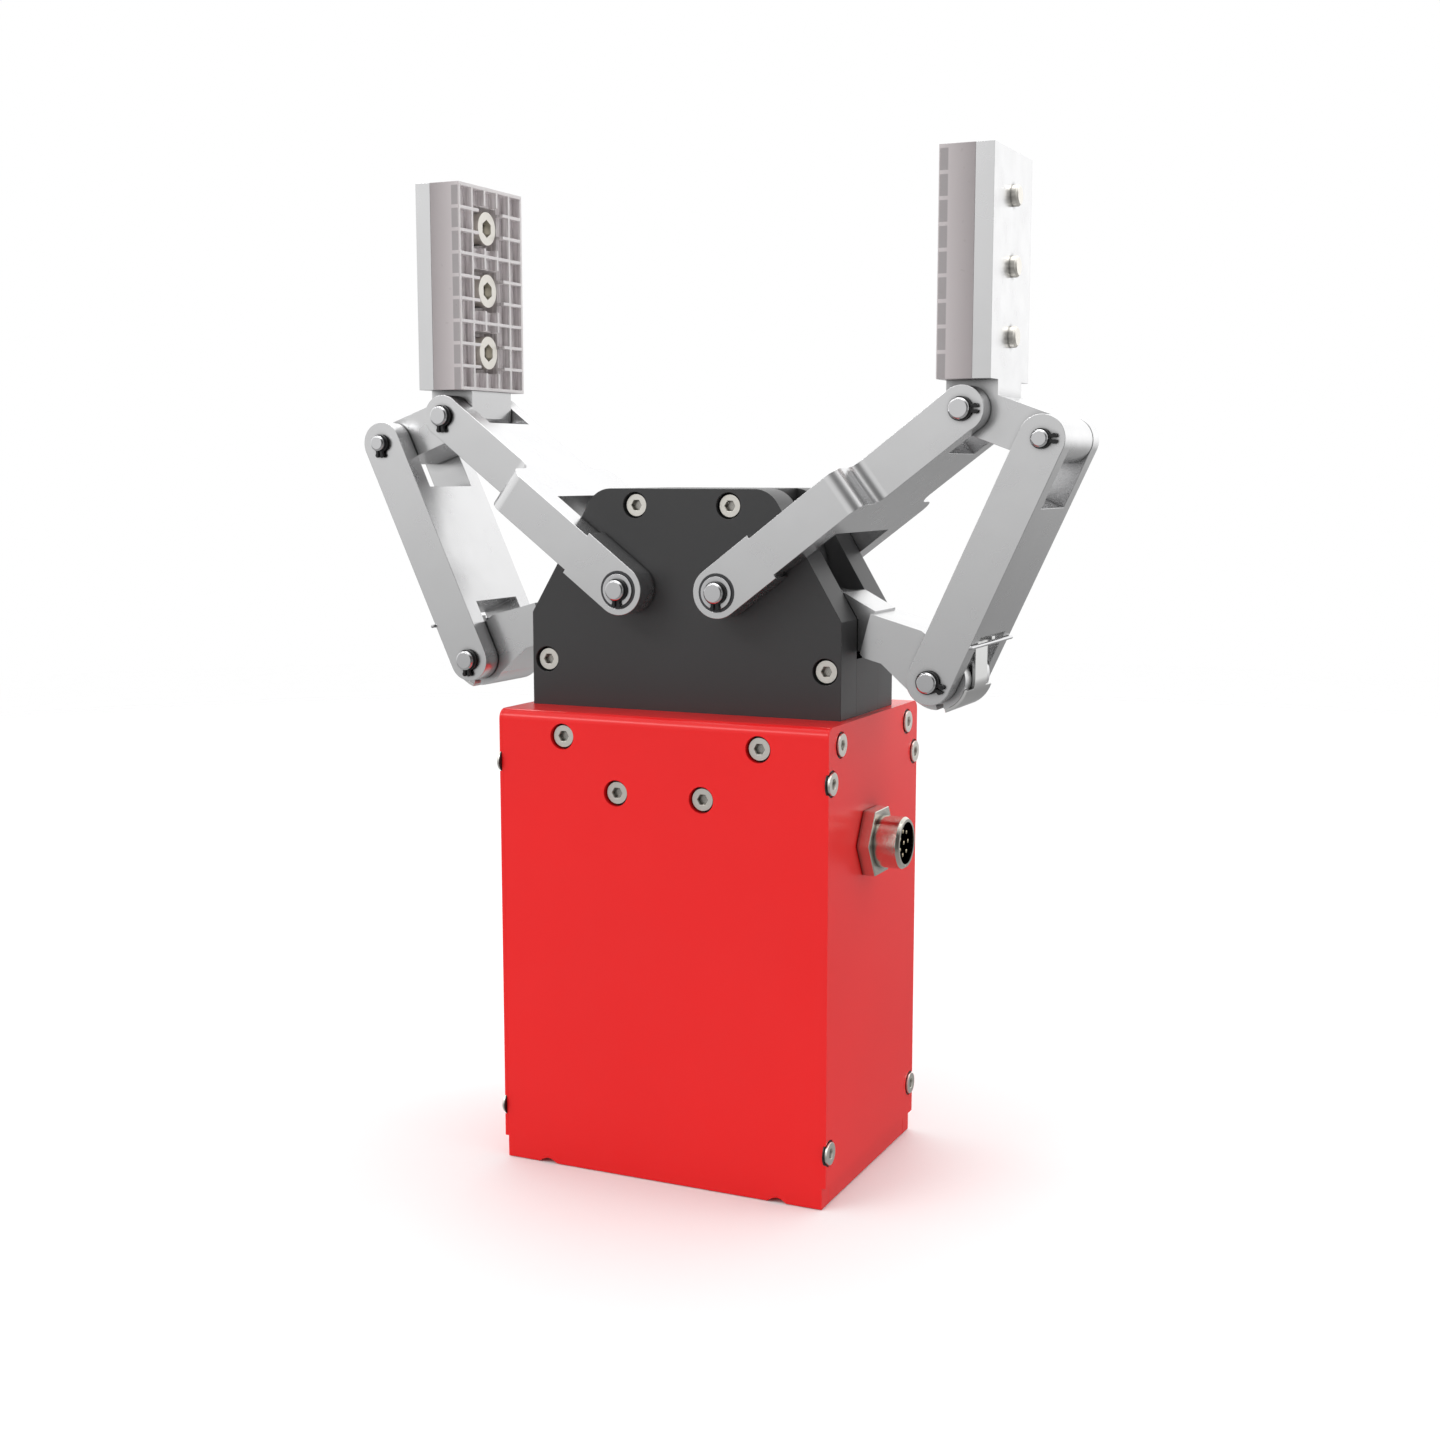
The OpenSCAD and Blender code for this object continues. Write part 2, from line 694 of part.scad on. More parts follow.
module sector_2d() {
    step = 360 / gear_z;
    union() {
        intersection() {
            circle(r = root_r);
            polygon([[0, 0], 40 * [cos(sector_lo), sin(sector_lo)], 40 * [cos(150), sin(150)],
                40 * [cos(sector_hi), sin(sector_hi)]]);
        }
        for (i = [floor((sector_hi - 180) / step) : -1 : ceil((sector_lo - 180) / step)])
            polygon(concat([[0, 0]], tooth(180 + i * step)));
    }
}
module crank_arm_2d() {
    // thin arm from the hub, in housing coordinates measured from the crank pivot
    polygon([[-1, 6.8], [6.5, 6.5], [14.4, 2.3], [12.4, -8], [8, -7], [0, -6.8]]);
}
module crank_head_2d() {
    p = PL1 - G2;
    union() {
        polygon([[14.1, 1.8], [27.0, -1.8], [28.6, -3.0], p + [4.5, 5.6], p, p + [-6.3, -3.5],
            [16.9, -10.0], [12.3, -8.8], [11.5, -7.9]]);
        translate(p) circle(r = eye_r);
    }
}
spring_bar_r = 0.45;
module crank_body() {
    difference() {
        at(G2) union() {
            slab(-crank_half_y, crank_half_y) union() {
                circle(r = hub_r);
                sector_2d();
                crank_arm_2d();
            }
            slab(-core_y, core_y) crank_head_2d();
        }
        at(G2) ycyl(shaft_r, -20, 20);
        at(PL1) ycyl(pin_r + 0.1, -20, 20);
        // groove that the lower end of the leaf spring clips into
        at(PL1) rotate([0, 81, 0]) box([5.8, -20, -0.9], [9, 20, 0.9]);
    }
}
module crank_right() {
    color(ALU) crank_body();
}
module crank_left() {
    color(ALU) left_of() crank_body();
}
module crank_shaft() {
    at(G2) ycyl(shaft_r, -slot_y - bearing_len, slot_y + bearing_len);
}
module crank_shaft_right() {
    color(STEEL) crank_shaft();
}
module crank_shaft_left() {
    color(STEEL) left_of() crank_shaft();
}
// leaf spring: a wide band round the eye of the crank, a leaf that rises from it, and a narrow
// tongue over the bar on the outer link
leaf_t = 0.8;
band_r = eye_r + 0.05;
band_top = 16.6;
band_low = 73;
leaf_w = 9.6;
tongue_w = 2.6;
bar_s = 12.1;
bar_t = -ol_half - spring_bar_r;
bar_at = PL1 + bar_s * [cos(ol_angle), sin(ol_angle)] + bar_t * [-sin(ol_angle), cos(ol_angle)];
// sheet bent round the eye, between two angles below the level
module band_2d(a0, a1) {
    far = 3 * eye_r;
    difference() {
        intersection() {
            circle(r = band_r + leaf_t);
            polygon([[0, 0], far * [cos(a1), -sin(a1)], far * [cos(a0), -sin(a0)]]);
        }
        circle(r = band_r);
    }
}
module return_spring() {
    z1 = bar_at[1] + spring_bar_r + gap - PL1[1];
    at(PL1) {
        slab(-core_y, core_y) band_2d(band_top, band_low);
        slab(-leaf_w / 2, leaf_w / 2) union() {
            band_2d(0, band_low);
            translate([band_r, 0]) square([leaf_t, z1 + leaf_t]);
        }
        slab(-tongue_w / 2, tongue_w / 2)
            translate([band_r, z1]) square([bar_at[0] - PL1[0] + spring_bar_r - band_r, leaf_t]);
    }
}
module return_spring_right() {
    color(NICKEL) return_spring();
}
module return_spring_left() {
    color(NICKEL) left_of() return_spring();
}

// ---------- outer link ----------
module outer_link_2d() {
    union() {
        circle(r = ol_half);
        translate([0, -ol_half]) square([ol_len, 2 * ol_half]);
        translate([ol_len, 0]) circle(r = ol_half);
    }
}
module outer_link_body() {
    in_link(PL1, ol_angle) difference() {
        slab(-ol_y, ol_y) outer_link_2d();
        box([-20, -fork_y, -20], [ol_slot_lo, fork_y, 20]);
        box([ol_slot_hi, -fork_y, -20], [ol_len + 20, fork_y, 20]);
        ycyl(pin_r, -20, 20);
        translate([ol_len, 0, 0]) ycyl(small_pin_r, -20, 20);
    }
}
module outer_link_right() {
    color(ALU) outer_link_body();
}
module outer_link_left() {
    color(ALU) left_of() outer_link_body();
}
// pin along Y through both plates, with a groove for a clip at each end
module link_pin(r, y) {
    difference() {
        yrod(r, -y - pin_end, y + pin_end);
        for (s = [-1, 1]) difference() {
            translate([0, s * (y + 0.5 + clip_t / 2), 0]) ycyl(r + 1, -clip_t / 2, clip_t / 2);
            ycyl(r - 0.25, -y - 3, y + 3);
        }
    }
}
module outer_pins() {
    at(PL1) link_pin(pin_r, ol_y);
    at(PU1) link_pin(small_pin_r, ol_y);
    at(bar_at) ycyl(spring_bar_r, -ol_y - 0.9, ol_y + 0.9);
}
module outer_pins_right() {
    color(STEEL) outer_pins();
}
module outer_pins_left() {
    color(STEEL) left_of() outer_pins();
}
module clip_pair(r, y, a) {
    front_back() translate([0, -y - 0.5 - clip_t, 0]) rotate([0, a, 0]) clip(r);
}
module outer_clips(a_low, a_top) {
    at(PL1) clip_pair(pin_r, ol_y, a_low);
    at(PU1) clip_pair(small_pin_r, ol_y, a_top);
}
module outer_clips_right() {
    color(CLIP) outer_clips(25, 0);
}
module outer_clips_left() {
    color(CLIP) left_of() outer_clips(90, 90);
}

// ---------- inner link ----------
// plan of the link, along the link and across the machine
module inner_link_plan() {
    difference() {
        union() {
            translate([0, -il_y]) square([link_len + 20, 2 * il_y]);
            translate([-20, -arm_y + arm_bend_r]) square([arm_end_s + 20, 2 * (arm_y - arm_bend_r)]);
            translate([-20, -arm_y]) square([arm_end_s + 20 - arm_bend_r, 2 * arm_y]);
            for (s = [-1, 1]) {
                translate([arm_end_s - arm_bend_r, s * (arm_y - arm_bend_r)]) circle(r = arm_bend_r);
                difference() {
                    translate([arm_end_s - eps, s * (il_y + arm_fillet_r / 2) - arm_fillet_r / 2 - eps])
                        square([arm_fillet_r + eps, arm_fillet_r + 2 * eps]);
                    translate([arm_end_s + arm_fillet_r, s * (il_y + arm_fillet_r)])
                        circle(r = arm_fillet_r);
                }
            }
        }
        translate([-21, -arm_in_y]) square([arm_slot_s + 21, 2 * arm_in_y]);
        translate([tip_slot_s, -fork_y]) square([60, 2 * fork_y]);
    }
}
module inner_link_side() {
    union() {
        circle(r = il_eye_r);
        translate([0, -il_eye_r]) square([il_eye_len, 2 * il_eye_r]);
        translate([0, -il_half]) square([link_len, 2 * il_half]);
        translate([link_len, 0]) circle(r = il_tip_r);
    }
}
bush_r = 4.65;
module inner_link_body() {
    in_link(G1, open_angle) difference() {
        intersection() {
            slab(-arm_y, arm_y) inner_link_side();
            translate([0, 0, -10]) linear_extrude(height = 20) inner_link_plan();
        }
        ycyl(bush_r, -30, 30);
        translate([link_len, 0, 0]) ycyl(pin_r, -20, 20);
    }
}
module inner_link_right() {
    color(ALU) inner_link_body();
}
module inner_link_left() {
    color(ALU) left_of() inner_link_body();
}
module link_bushes() {
    at(G1) front_back() difference() {
        ycyl(bush_r, -arm_y, -arm_in_y);
        ycyl(pin_r + run, -40, 0);
    }
}
module link_bushes_right() {
    color(BLACK) link_bushes();
}
module link_bushes_left() {
    color(BLACK) left_of() link_bushes();
}
module inner_pin_right() {
    color(STEEL) at(PI1) link_pin(pin_r, il_y);
}
module inner_pin_left() {
    color(STEEL) left_of() at(PI1) link_pin(pin_r, il_y);
}
module inner_clips_right() {
    color(CLIP) at(PI1) clip_pair(pin_r, il_y, 0);
}
module inner_clips_left() {
    color(CLIP) left_of() at(PI1) clip_pair(pin_r, il_y, 90);
}

// ---------- finger ----------
module finger_side_2d() {
    d = PU1 - PI1;
    n = [-d[1], d[0]] / norm(d) * finger_half;
    union() {
        translate(PI1) circle(r = finger_half);
        translate(PU1) circle(r = finger_half);
        polygon([PI1 - n, PU1 - n, PU1 + n, PI1 + n]);
        polygon([[neck_x0, PI1[1] - 0.5], [plate_x1, PI1[1] - 4], [plate_x1, pad_z0], [neck_x0, pad_z0]]);
    }
}
module finger_body() {
    difference() {
        union() {
            slab(-core_y, core_y) finger_side_2d();
            box([pad_x1, -pad_w / 2, pad_z0], [plate_x1, pad_w / 2, pad_z1]);
        }
        at(PI1) ycyl(pin_r + run, -20, 20);
        at(PU1) ycyl(small_pin_r + run, -20, 20);
        pad_screw_places() xcyl(m5_r, pad_x1 - 1, plate_x1 + 1);
    }
}
module pad_screw_places() {
    for (i = [-1:1]) translate([0, 0, (pad_z0 + pad_z1) / 2 + i * pad_screw_pitch]) children();
}
module finger_right() {
    color(ALU) finger_body();
}
module finger_left() {
    color(ALU) left_of() finger_body();
}
module pad_body() {
    ph = (pad_h - 2 * pad_rim + pad_rib) / cell_rows;
    pw = (pad_w - 2 * pad_rim + pad_rib) / cell_cols;
    difference() {
        box([pad_x0, -pad_w / 2, pad_z0], [pad_x1, pad_w / 2, pad_z1]);
        for (i = [0:cell_rows - 1]) for (j = [0:cell_cols - 1])
            translate([pad_x0 - 1, -pad_w / 2 + pad_rim + j * pw, pad_z0 + pad_rim + i * ph])
                cube([cell_depth + 1, pw - pad_rib, ph - pad_rib]);
        pad_screw_places() {
            box([pad_x0 - 1, -pocket_w / 2, -pocket_h / 2],
                [pad_screw_x + m5_head_h, pocket_w / 2, pocket_h / 2]);
            xcyl(m5_r, pad_x0, pad_x1 + 1);
        }
    }
}
module pad_right() {
    color(RUBBER) pad_body();
}
module pad_left() {
    color(RUBBER) left_of() pad_body();
}
module pad_screws() {
    pad_screw_places() difference() {
        union() {
            xcyl(m5_head_r, pad_screw_x, pad_screw_x + m5_head_h);
            xcyl(m5_r, pad_screw_x + m5_head_h - eps, plate_x1 + m5_tip - 0.5);
            translate([plate_x1 + m5_tip - 0.5 - eps, 0, 0]) rotate([0, 90, 0])
                cylinder(r1 = m5_r, r2 = m5_r - 0.5, h = 0.5 + eps);
        }
        translate([pad_screw_x - eps, 0, 0]) rotate([0, 90, 0]) cylinder(r = 2.3, h = 2.5, $fn = 6);
    }
}
module pad_screws_right() {
    color(NICKEL) pad_screws();
}
module pad_screws_left() {
    color(NICKEL) left_of() pad_screws();
}

base_plate();
housing_shell();
side_cover_left();
side_cover_right();
drive_plate();
motor_bracket();
bracket_screws();
gearbox();
motor();
encoder_cap();
controller_board();
board_components();
board_spacers();
connector_nut();
connector_barrel();
connector_insert();
connector_pins();
head_front_plate();
head_rear_plate();
head_spacers();
head_mount_bolts();
head_screws();
shell_screws();
cover_screws();
screw_washers();
screw_bearing();
crank_bearings();
link_pivot_pins();
link_pivot_clips();
drive_screw();
screw_coupling();
drive_rack();
rack_nut();
crank_right();
crank_left();
crank_shaft_right();
crank_shaft_left();
return_spring_right();
return_spring_left();
outer_link_right();
outer_link_left();
outer_pins_right();
outer_pins_left();
outer_clips_right();
outer_clips_left();
inner_link_right();
inner_link_left();
link_bushes_right();
link_bushes_left();
inner_pin_right();
inner_pin_left();
inner_clips_right();
inner_clips_left();
finger_right();
finger_left();
pad_right();
pad_left();
pad_screws_right();
pad_screws_left();
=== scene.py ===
"""Looks of the two-finger linkage gripper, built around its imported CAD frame. Units are metres."""
import json
import math

import bpy
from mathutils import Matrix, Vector


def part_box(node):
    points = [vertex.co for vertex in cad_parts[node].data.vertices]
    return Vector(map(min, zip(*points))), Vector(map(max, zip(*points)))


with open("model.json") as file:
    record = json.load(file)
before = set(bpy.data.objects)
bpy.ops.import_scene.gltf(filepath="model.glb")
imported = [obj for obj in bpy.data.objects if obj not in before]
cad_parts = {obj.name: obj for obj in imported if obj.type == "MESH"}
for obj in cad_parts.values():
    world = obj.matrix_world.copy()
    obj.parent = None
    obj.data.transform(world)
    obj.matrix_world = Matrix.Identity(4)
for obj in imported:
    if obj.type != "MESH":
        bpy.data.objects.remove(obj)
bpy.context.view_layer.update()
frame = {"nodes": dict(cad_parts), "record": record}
nodes = frame["nodes"]
scene = bpy.context.scene

MM = 0.001
MICRON = 1e-6
# Blender's noise seldom leaves this span, so ramps that start from it use their whole range
NOISE_SPAN = (0.3, 0.7)


# ---------- camera ----------
CAMERA_PLACE = (0.20315, -0.43287, 0.17545)
CAMERA_DOWN = 7.526  # degrees below level
CAMERA_TURN = 24.903  # degrees to the right of straight in front
LENS_MM = 47.03
SENSOR_MM = 36


def add_camera():
    data = bpy.data.cameras.new("camera")
    data.lens = LENS_MM
    data.sensor_width = SENSOR_MM
    data.clip_start = 10 * MM
    camera = bpy.data.objects.new("camera", data)
    camera.location = CAMERA_PLACE
    camera.rotation_euler = (math.radians(90 - CAMERA_DOWN), 0, math.radians(CAMERA_TURN))
    scene.collection.objects.link(camera)
    scene.camera = camera


add_camera()
scene.view_settings.view_transform = "Standard"


# ---------- node helpers ----------
class Graph:
    """A node tree, with short ways to add nodes and join them."""

    def __init__(self, tree):
        self.tree = tree

    def add(self, kind, **values):
        node = self.tree.nodes.new(kind)
        for key, value in values.items():
            setattr(node, key, value)
        return node

    def feed(self, socket, value):
        """Joins another node's output to the socket, or sets the socket to a number."""
        if isinstance(value, (int, float)):
            socket.default_value = value
        else:
            self.tree.links.new(value, socket)

    def math(self, kind, a, b):
        node = self.add("ShaderNodeMath", operation=kind)
        self.feed(node.inputs[0], a)
        self.feed(node.inputs[1], b)
        return node.outputs[0]

    def dot(self, vector, direction):
        node = self.add("ShaderNodeVectorMath", operation="DOT_PRODUCT")
        self.feed(node.inputs[0], vector)
        node.inputs[1].default_value = direction
        return node.outputs["Value"]

    def ramp(self, value, low, high, a, b, shape="LINEAR"):
        """Maps value from low..high to a..b, clamped."""
        node = self.add("ShaderNodeMapRange", interpolation_type=shape)
        for key, number in (("From Min", low), ("From Max", high), ("To Min", a), ("To Max", b)):
            node.inputs[key].default_value = number
        self.feed(node.inputs["Value"], value)
        return node.outputs["Result"]


class Shader(Graph):
    """A Principled material that is filled in node by node, in the object's own coordinates."""

    def __init__(self, name, rough, metal=0.0, **fixed):
        self.material = bpy.data.materials.new(name)
        self.material.use_nodes = True
        super().__init__(self.material.node_tree)
        self.bsdf = self.tree.nodes["Principled BSDF"]
        self.bsdf.inputs["Metallic"].default_value = metal
        self.bsdf.inputs["Roughness"].default_value = rough
        for key, value in fixed.items():
            self.bsdf.inputs[key.replace("_", " ")].default_value = value
        self.place = self.add("ShaderNodeTexCoord").outputs["Object"]

    def mapped(self, **values):
        """The place, scaled or turned."""
        node = self.add("ShaderNodeMapping")
        for key, value in values.items():
            node.inputs[key].default_value = value
        self.feed(node.inputs["Vector"], self.place)
        return node.outputs["Vector"]

    def noise(self, size, detail, stretch=None):
        """Grain whose features are about size metres across."""
        node = self.add("ShaderNodeTexNoise")
        node.inputs["Scale"].default_value = 1 / size
        node.inputs["Detail"].default_value = detail
        self.feed(node.inputs["Vector"], self.mapped(Scale=stretch) if stretch else self.place)
        return node.outputs["Fac"]

    def drift(self, size, detail, a, b):
        """A cloudy change between a and b, with clouds about size metres across."""
        return self.ramp(self.noise(size, detail), *NOISE_SPAN, a, b)

    def mix(self, factor, a, b):
        """Blends two colours. The Mix node keeps its colour sockets behind those for numbers."""
        node = self.add("ShaderNodeMix", data_type="RGBA")
        self.feed(node.inputs["Factor"], factor)
        for socket, value in ((node.inputs[6], a), (node.inputs[7], b)):
            if isinstance(value, tuple):
                socket.default_value = (*value, 1)
            else:
                self.feed(socket, value)
        return node.outputs[2]

    def crevice(self, reach):
        """1 in the open, falling towards 0 in sockets, gaps and grooves closer than reach metres."""
        node = self.add("ShaderNodeAmbientOcclusion", samples=16)
        node.inputs["Distance"].default_value = reach
        return node.outputs["AO"]

    def axis(self, name):
        """The X, Y or Z coordinate without its sign, so that left and right parts look alike."""
        split = self.add("ShaderNodeSeparateXYZ")
        self.feed(split.inputs[0], self.place)
        return self.math("ABSOLUTE", split.outputs[name], 0)

    def colour(self, socket):
        self.feed(self.bsdf.inputs["Base Color"], socket)

    def rough(self, socket):
        self.feed(self.bsdf.inputs["Roughness"], socket)

    def bump(self, height, depth):
        """Raises the surface by height, where a height of 1 stands for depth metres."""
        node = self.add("ShaderNodeBump")
        node.inputs["Distance"].default_value = depth
        self.feed(node.inputs["Height"], height)
        self.feed(self.bsdf.inputs["Normal"], node.outputs["Normal"])


# ---------- materials ----------
CREVICE_SHUT = 0.35  # how open a crevice is where its painted shade is at its darkest


def tinted(colour, k):
    return tuple(min(1.0, c * k) for c in colour)


def coated(name, colour, rough, grain, grain_depth, **fixed):
    """Powder coat, anodising, enamel or moulded plastic: fine grain, a soft drift of tone and gloss."""
    s = Shader(name, rough, **fixed)
    tone = s.drift(45 * MM, 1, 0, 1)
    s.colour(s.mix(tone, tinted(colour, 0.985), tinted(colour, 1.015)))
    s.rough(s.drift(14 * MM, 3, rough - 0.012, rough + 0.012))
    s.bump(s.noise(grain, 2), grain_depth)
    return s.material


def metal(name, colour, rough, grain=0.25 * MM, grain_depth=0.6 * MICRON, streak=None, crevice_shade=0.35,
          reach=2 * MM, open_from=0.85):
    """Ground, satin or plated metal: cloudy gloss, fine grain or grinding streaks, and painted shade that
    darkens its crevices.

    The argument after streak is the tone of the painted shade deep in a crevice, and open_from is how open
    a place is where that painted shade ends.
    """
    s = Shader(name, rough, metal=1.0)
    unshaded = s.mix(s.drift(18 * MM, 3, 0, 1), tinted(colour, 0.98), tinted(colour, 1.01))
    # painted shade: the colour darkens towards the crevice tone in sockets, gaps and pockets, by ambient
    # occlusion
    openness = s.ramp(s.crevice(reach), CREVICE_SHUT, open_from, 0, 1)
    s.colour(s.mix(openness, tinted(colour, crevice_shade), unshaded))
    s.rough(s.drift(6 * MM, 2, rough - 0.025, rough + 0.03))
    s.bump(s.noise(grain, 2, streak), grain_depth)
    return s.material


def pad_material():
    """Clear grey elastomer. Its side walls carry painted shade: they darken towards the finger, and the
    cells show darker through them. The cells are streaked inside.
    """
    rows = 9
    rim = 0.85 * MM
    rib = 0.8 * MM
    cell_depth = 2.2 * MM
    low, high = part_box("pad_right")
    s = Shader("pad_elastomer", 0.32, IOR=1.46)
    depth = s.math("SUBTRACT", s.axis("X"), low.x)

    # ribbed face: pale tops of the ribs, darker and streaked in the cells
    streaks = s.ramp(s.noise(0.7 * MM, 3, (1, 1, 0.06)), 0.38, 0.62, 0, 1)
    cells = s.mix(streaks, (0.60, 0.56, 0.565), (0.86, 0.82, 0.825))
    face = s.mix(s.ramp(depth, 0.1 * MM, 0.3 * MM, 0, 1), (0.84, 0.81, 0.81), cells)

    # side walls: painted shade that darkens them towards the finger, and painted darker squares where the
    # cells show through them
    skin = s.mix(s.ramp(depth, 0, high.x - low.x, 0, 1), (0.63, 0.585, 0.59), (0.38, 0.345, 0.35))
    row = (high.z - low.z - 2 * rim + rib) / rows
    cell = row - rib
    along = s.math("MODULO", s.math("SUBTRACT", s.axis("Z"), low.z + rim), row)
    in_row = s.ramp(along, cell - 0.15 * MM, cell, 1, 0)
    in_depth = s.ramp(depth, cell_depth - 0.1 * MM, cell_depth + 0.1 * MM, 1, 0)
    under_skin = s.ramp(depth, 0.2 * MM, 0.3 * MM, 0, 0.62)
    shade = s.math("MULTIPLY", s.math("MULTIPLY", in_row, in_depth), under_skin)
    side = s.mix(shade, skin, (0.25, 0.235, 0.24))

    def outer(value, surface, inward):
        """1 in the outer 0.1 mm at one surface of the pad, 0 further in."""
        return s.ramp(value, surface + inward * 0.08 * MM, surface + inward * 0.12 * MM, 1, 0)

    ends = s.math("MAXIMUM", outer(s.axis("Z"), high.z, -1), outer(s.axis("Z"), low.z, 1))
    walls = outer(s.axis("Y"), high.y, -1)
    s.colour(s.mix(walls, s.mix(ends, face, skin), side))
    s.rough(s.drift(2 * MM, 3, 0.27, 0.38))
    s.bump(s.noise(0.5 * MM, 2), 3 * MICRON)
    return s.material


def board_material():
    """Green solder mask with copper tracks under it."""
    s = Shader("solder_mask", 0.35)
    tracks = s.add("ShaderNodeTexBrick")
    tracks.inputs["Scale"].default_value = 1 / (9 * MM)
    tracks.inputs["Mortar Size"].default_value = 0.03
    tracks.inputs["Color1"].default_value = (0.012, 0.10, 0.045, 1)
    tracks.inputs["Color2"].default_value = (0.015, 0.12, 0.055, 1)
    tracks.inputs["Mortar"].default_value = (0.03, 0.22, 0.09, 1)
    # the board stands upright, and the brick pattern lies in the XY plane
    s.feed(tracks.inputs["Vector"], s.mapped(Rotation=(0, math.radians(90), 0)))
    s.colour(tracks.outputs["Color"])
    s.bump(tracks.outputs["Fac"], 20 * MICRON)
    return s.material


BRUSHED = (1, 1, 0.1)  # draws the grain out along Z
RED = (0.88, 0.013, 0.014)
BLACK = (0.033, 0.033, 0.034)
SATIN = (0.80, 0.80, 0.805)
NICKEL = (0.95, 0.92, 0.85)
DULL_NICKEL = (0.70, 0.67, 0.60)
MATERIALS = {
    "red_paint": coated("red_powder_coat", RED, 0.26, 0.7 * MM, 4 * MICRON, Specular_IOR_Level=0.4),
    "black_anodised": coated("black_anodising", BLACK, 0.4, 0.3 * MM, 2 * MICRON, Specular_IOR_Level=0.65),
    "black_clip": coated("black_phosphate", (0.010, 0.010, 0.011), 0.3, 0.2 * MM, 2 * MICRON),
    "black_plastic": coated("black_moulding", (0.012, 0.012, 0.012), 0.34, 0.4 * MM, 3 * MICRON),
    "dark_parts": coated("dark_enamel", (0.045, 0.046, 0.05), 0.42, 0.5 * MM, 3 * MICRON),
    "circuit_board": board_material(),
    "pad_rubber": pad_material(),
    "link_aluminium": metal("satin_link_metal", SATIN, 0.25, 3 * MM, 3 * MICRON, reach=4 * MM),
    "plain_aluminium": metal("machined_aluminium", (0.76, 0.76, 0.77), 0.34, streak=BRUSHED),
    "pin_steel": metal("polished_pin_steel", (0.74, 0.74, 0.75), 0.17),
    "spring_steel": metal("bright_spring_steel", (0.82, 0.82, 0.81), 0.14),
    "plain_steel": metal("ground_steel", (0.60, 0.60, 0.61), 0.3, streak=BRUSHED),
    "screw_steel": metal("nickel_plated_screw", NICKEL, 0.34, 0.3 * MM, 24 * MICRON, crevice_shade=0.1,
                         open_from=0.65),
    "nickel_plate": metal("nickel_plated_brass", DULL_NICKEL, 0.16, 0.3 * MM, 36 * MICRON, crevice_shade=0.12),
    "contact_metal": metal("gold_flash", (0.86, 0.76, 0.55), 0.2),
    "bronze": metal("sintered_bronze", (0.62, 0.42, 0.22), 0.42, 0.2 * MM, 6 * MICRON),
}


# ---------- edges of the CAD nodes ----------
def soften(node, width):
    """Rounds a node's outer edges, as a real chamfer or deburred edge catches the light."""
    piece = nodes[node]
    weld = piece.modifiers.new("weld", "WELD")
    weld.merge_threshold = 1 * MICRON
    flat = piece.modifiers.new("flat_faces", "DECIMATE")
    flat.decimate_type = "DISSOLVE"
    flat.angle_limit = math.radians(0.6)
    bevel = piece.modifiers.new("bevel", "BEVEL")
    bevel.width = width
    bevel.segments = 2
    bevel.limit_method = "ANGLE"
    bevel.angle_limit = math.radians(28)
    even = piece.modifiers.new("even_normals", "WEIGHTED_NORMAL")
    even.weight = 80
    for face in piece.data.polygons:
        face.use_smooth = True


# how wide each rounded edge is, in millimetres
EDGE = {
    "housing_shell": 0.25, "side_cover_left": 0.15, "side_cover_right": 0.15, "base_plate": 0.2,
    "head_front_plate": 0.1, "head_rear_plate": 0.1, "head_spacers": 0.05,
    "head_screws": 0.12, "shell_screws": 0.12, "cover_screws": 0.12, "head_mount_bolts": 0.12,
    "connector_nut": 0.3, "connector_barrel": 0.12, "connector_insert": 0.08, "connector_pins": 0.15,
    # screw_washers: the dark washers in the counterbores stand in as painted shade for the dark gap round
    # the screw heads
    "link_pivot_pins": 0.06, "link_pivot_clips": 0.06, "screw_washers": 0.03,
}
EDGE_ON_BOTH_SIDES = {
    "inner_link": 0.12, "outer_link": 0.12, "crank": 0.12, "finger": 0.15, "pad": 0.1, "pad_screws": 0.15,
    "outer_pins": 0.06, "inner_pin": 0.06, "outer_clips": 0.06, "inner_clips": 0.06, "link_bushes": 0.06,
    "return_spring": 0.08,
}
for side in ("right", "left"):
    EDGE.update({f"{name}_{side}": width for name, width in EDGE_ON_BOTH_SIDES.items()})

for part in frame["record"]["subparts"]:
    node = part["node"]
    nodes[node].data.materials.clear()
    nodes[node].data.materials.append(MATERIALS[part["material_slot"]])
    if node in EDGE:
        soften(node, EDGE[node] * MM)


# ---------- floor, light, background ----------
FLOOR_DROP = 0.2 * MM  # keeps the floor clear of the object's underside
FLOOR_RADIUS = 1.6
FLOOR_FADE = (0.25, 1.3)  # it fades into the background between these distances from the middle


def add_floor():
    bpy.ops.mesh.primitive_circle_add(
        vertices=96, radius=FLOOR_RADIUS, fill_type="NGON", location=(0, 0, -FLOOR_DROP))
    floor = bpy.context.object
    floor.name = "floor"
    s = Shader("pale_floor", 0.7)
    s.bsdf.inputs["Base Color"].default_value = (0.92, 0.92, 0.92, 1)
    distance = s.add("ShaderNodeVectorMath", operation="LENGTH")
    s.feed(distance.inputs[0], s.place)
    s.feed(s.bsdf.inputs["Alpha"], s.ramp(distance.outputs["Value"], *FLOOR_FADE, 1, 0))
    floor.data.materials.append(s.material)
    floor.visible_glossy = False


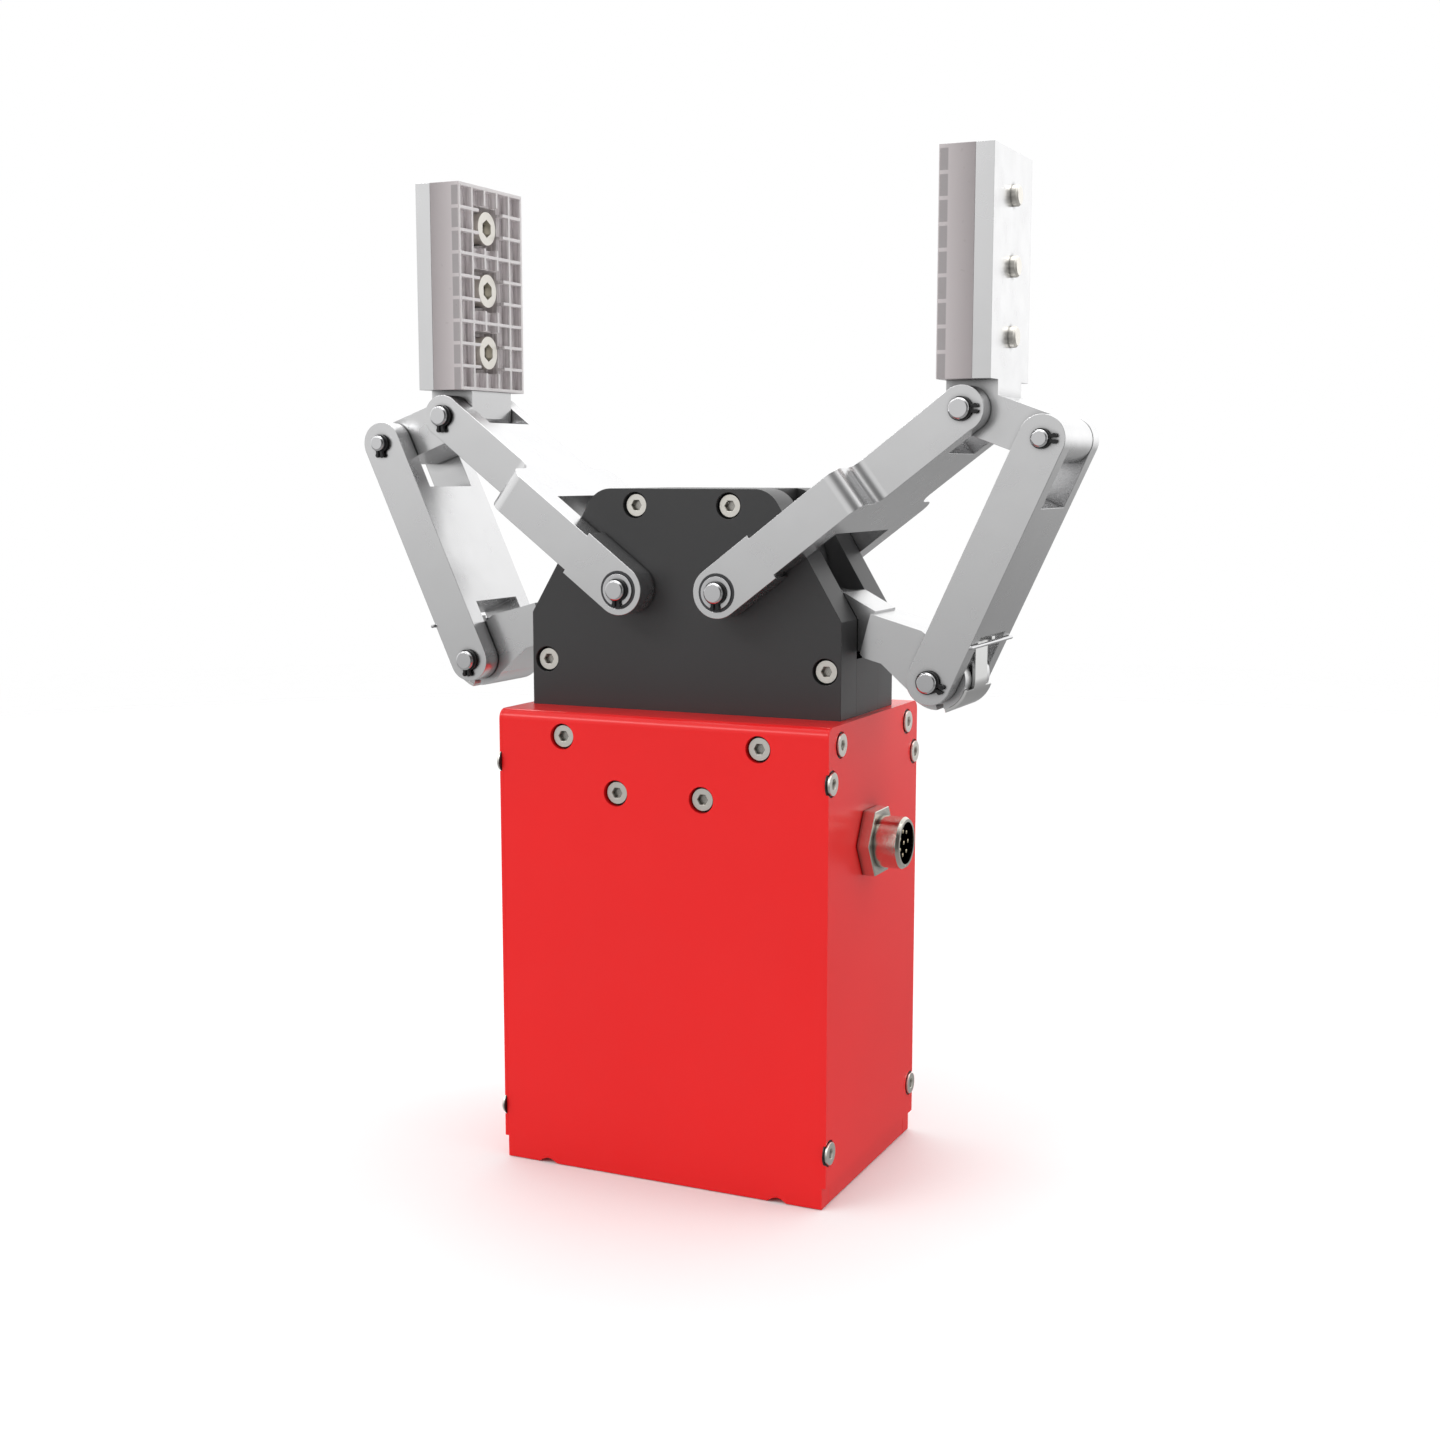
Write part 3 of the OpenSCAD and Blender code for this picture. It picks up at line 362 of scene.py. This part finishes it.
def add_softbox(name, place, size, power):
    """A rectangular lamp that points at the middle of the object."""
    middle = Vector((0, 0, 0.13))
    data = bpy.data.lights.new(name, "AREA")
    data.shape = "RECTANGLE"
    data.size, data.size_y = size
    data.energy = power
    lamp = bpy.data.objects.new(name, data)
    lamp.location = place
    lamp.rotation_euler = (middle - Vector(place)).to_track_quat("-Z", "Y").to_euler()
    scene.collection.objects.link(lamp)


# brightness by height: 0 is 30 degrees or more below level, 0.5 is level, 1 is 30 or more above it
STUDIO_LEVELS = (
    (0.0, 0.34), (0.1, 0.27), (0.2, 0.2), (0.31, 0.31), (0.4, 0.62), (0.5, 0.86), (0.6, 0.96),
    (0.75, 0.87), (1.0, 0.92),
)
# each level is multiplied by this gain plus the lean, which makes it brighter behind than in front
STUDIO_GAIN = 1.07
STUDIO_LEAN = (-0.05, 0.27, 0)
# two dark flags to the right, as (direction, where the shade starts, the light left in its core):
# the front one gives round parts their dark stripe, and the back one greys side faces
FLAGS = (
    ((0.72, -0.62, 0.32), 0.72, 0.12),
    ((0.87, 0.5, 0.05), 0.74, 0.52),
)
FLAG_CORE = 0.96


def add_world():
    """A plain studio, grey below and bright from the horizon up. The camera sees it as white."""
    world = bpy.data.worlds.new("studio")
    scene.world = world
    world.use_nodes = True
    g = Graph(world.node_tree)
    background = g.tree.nodes["Background"]
    background.inputs["Color"].default_value = (1, 1, 1, 1)

    direction = g.add("ShaderNodeTexCoord").outputs["Generated"]
    split = g.add("ShaderNodeSeparateXYZ")
    g.feed(split.inputs[0], direction)
    levels = g.add("ShaderNodeValToRGB")
    g.feed(levels.inputs["Fac"], g.math("ADD", split.outputs["Z"], 0.5))
    stops = levels.color_ramp.elements
    stops.remove(stops[1])
    for index, (place, level) in enumerate(STUDIO_LEVELS):
        stop = stops.new(place) if index else stops[0]
        stop.position = place
        stop.color = (level, level, level, 1)

    around = g.math("ADD", g.dot(direction, STUDIO_LEAN), STUDIO_GAIN)
    light = g.math("MULTIPLY", levels.outputs["Color"], around)
    for aim, start, left in FLAGS:
        flag = g.dot(direction, Vector(aim).normalized())
        light = g.math("MULTIPLY", light, g.ramp(flag, start, FLAG_CORE, 1, left, "SMOOTHSTEP"))

    pick = g.add("ShaderNodeMix", data_type="FLOAT")
    g.feed(pick.inputs["Factor"], g.add("ShaderNodeLightPath").outputs["Is Camera Ray"])
    g.feed(pick.inputs[2], light)
    g.feed(pick.inputs[3], 1.0)
    g.feed(background.inputs["Strength"], pick.outputs[0])


add_floor()
add_world()
add_softbox("key", (-0.75, -1.0, 1.0), (0.9, 0.28), 4.9)
add_softbox("overhead", (0.1, 0.15, 1.3), (1.1, 1.1), 6)
add_softbox("side_fill", (1.3, 0.5, 0.6), (0.8, 0.9), 2.2)
